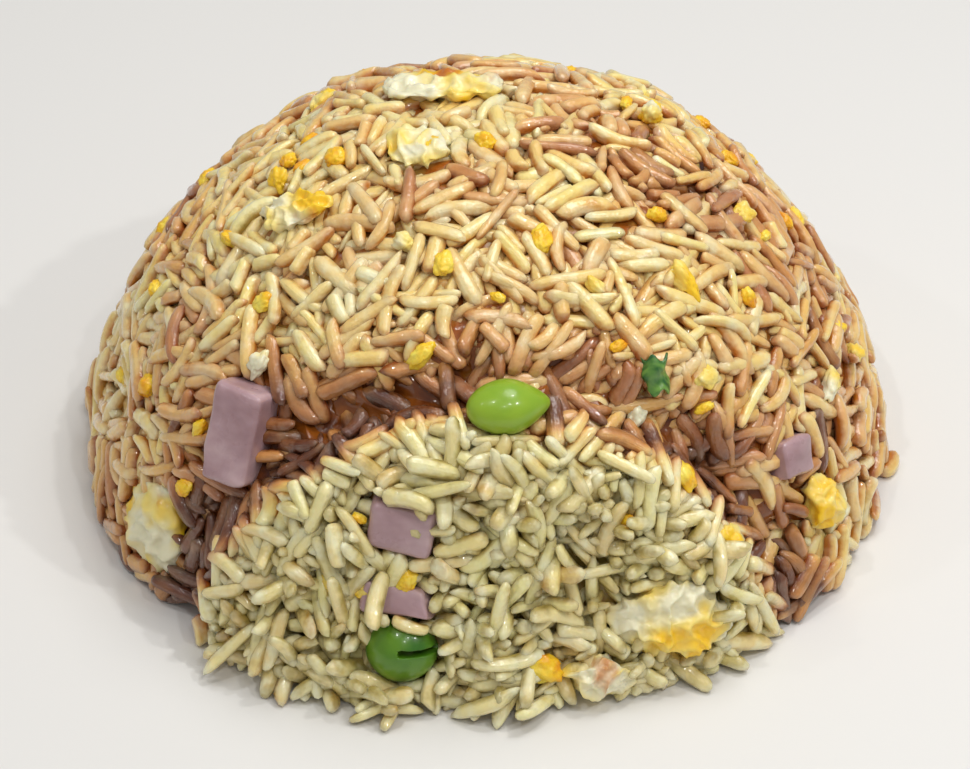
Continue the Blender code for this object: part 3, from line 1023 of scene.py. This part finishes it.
def egg_material():
    g = Graph("fried egg")
    colour = g.ramp(g.noise(115.0, 2.0), (0.40, EGG_WHITE), (0.52, srgb(240, 216, 120)), (0.62, YOLK))
    browned = g.ramp(g.noise(85.0, 3.0, (1.3, 1.0, 1.0)), (0.62, (0, 0, 0)), (0.72, (1, 1, 1)))
    colour = g.mix(browned, colour, EGG_BROWNED)
    g.link(colour, "Base Color")
    g.link(g.span(g.noise(380.0), 0.28, 0.55), "Roughness")
    g.bump(g.noise(620.0, 3.0), 0.2, 0.3 * MM)
    return g.moist(0.18, 1.5 * MM)


def floor_material():
    g = Graph("pale floor")
    g.link(g.ramp(g.noise(3.0), (0.0, FLOOR), (1.0, srgb(226, 224, 220))), "Base Color")
    g.set(Roughness=0.7)
    return g.material


def make_materials():
    return {
        "rice": rice_material(),
        "core": core_material(),
        "bean": bean_material("boiled edamame", BEAN_LIGHT, BEAN_MID),
        "bean_dark": bean_material("boiled edamame, deep green", BEAN_MID, BEAN_DEEP),
        "ham": ham_material(),
        "egg": egg_material(),
        "sauce": sauce_material(),
        "yolk": yolk_material(),
        "scallion": scallion_material(),
        "floor": floor_material(),
    }


# ---------------------------------------------------------------- stage

def area_light(name, spot, size, power):
    light = bpy.data.lights.new(name, "AREA")
    light.shape = "DISK"
    light.size = size
    light.energy = power
    obj = bpy.data.objects.new(name, light)
    obj.location = spot
    obj.rotation_euler = (Vector((0, 0, 0.02)) - Vector(spot)).to_track_quat("-Z", "Y").to_euler()
    bpy.context.scene.collection.objects.link(obj)


def build_stage(materials):
    shape = bmesh.new()
    bmesh.ops.create_grid(shape, x_segments=4, y_segments=4, size=2.5)
    mesh = bpy.data.meshes.new("floor")
    shape.to_mesh(mesh)
    shape.free()
    mesh.materials.append(materials["floor"])
    add_object("floor", mesh)
    world = bpy.data.worlds.new("soft room")
    world.use_nodes = True
    back = world.node_tree.nodes["Background"]
    back.inputs["Color"].default_value = (1, 1, 1, 1)
    back.inputs["Strength"].default_value = 0.36
    bpy.context.scene.world = world
    area_light("overhead", (0.14, 0.12, 0.58), 0.32, 1.2)
    for number, (spot, power) in enumerate(SMALL_LAMPS):
        area_light(f"small lamp {number + 1}", spot, 0.022, power)
    bpy.context.scene.view_settings.view_transform = "Standard"


def build_camera():
    camera = bpy.data.cameras.new("camera")
    camera.sensor_width = 36.0
    camera.lens = CAMERA_LENS
    camera.clip_start = 0.01
    obj = bpy.data.objects.new("camera", camera)
    rise = math.radians(CAMERA_ELEVATION)
    back = Vector((0, -math.cos(rise), math.sin(rise)))
    obj.location = Vector(CAMERA_AIM) + back * CAMERA_DISTANCE
    obj.rotation_euler = (-back).to_track_quat("-Z", "Y").to_euler()
    bpy.context.scene.collection.objects.link(obj)
    bpy.context.scene.camera = obj


def main():
    rng = np.random.default_rng(26)
    skin = Skin()
    materials = make_materials()
    build_camera()
    build_stage(materials)
    build_toppings(materials)
    yolk_spots = YOLK_CURDS + hidden_spots(HIDDEN_CURDS, (2.4, 4.4), rng)
    white_spots = WHITE_BITS + hidden_spots(HIDDEN_BITS, (3.0, 5.0), rng)
    build_crumbs(skin, "yolk_curds", yolk_spots, 0.30, materials["yolk"], "egg", rng)
    build_crumbs(skin, "white_bits", white_spots, 0.55, materials["egg"], "egg", rng)
    build_scallions(skin, materials["scallion"], rng)
    build_sauce(skin, materials["sauce"])
    build_core(skin, materials)
    build_rice(skin, materials, rng)


main()
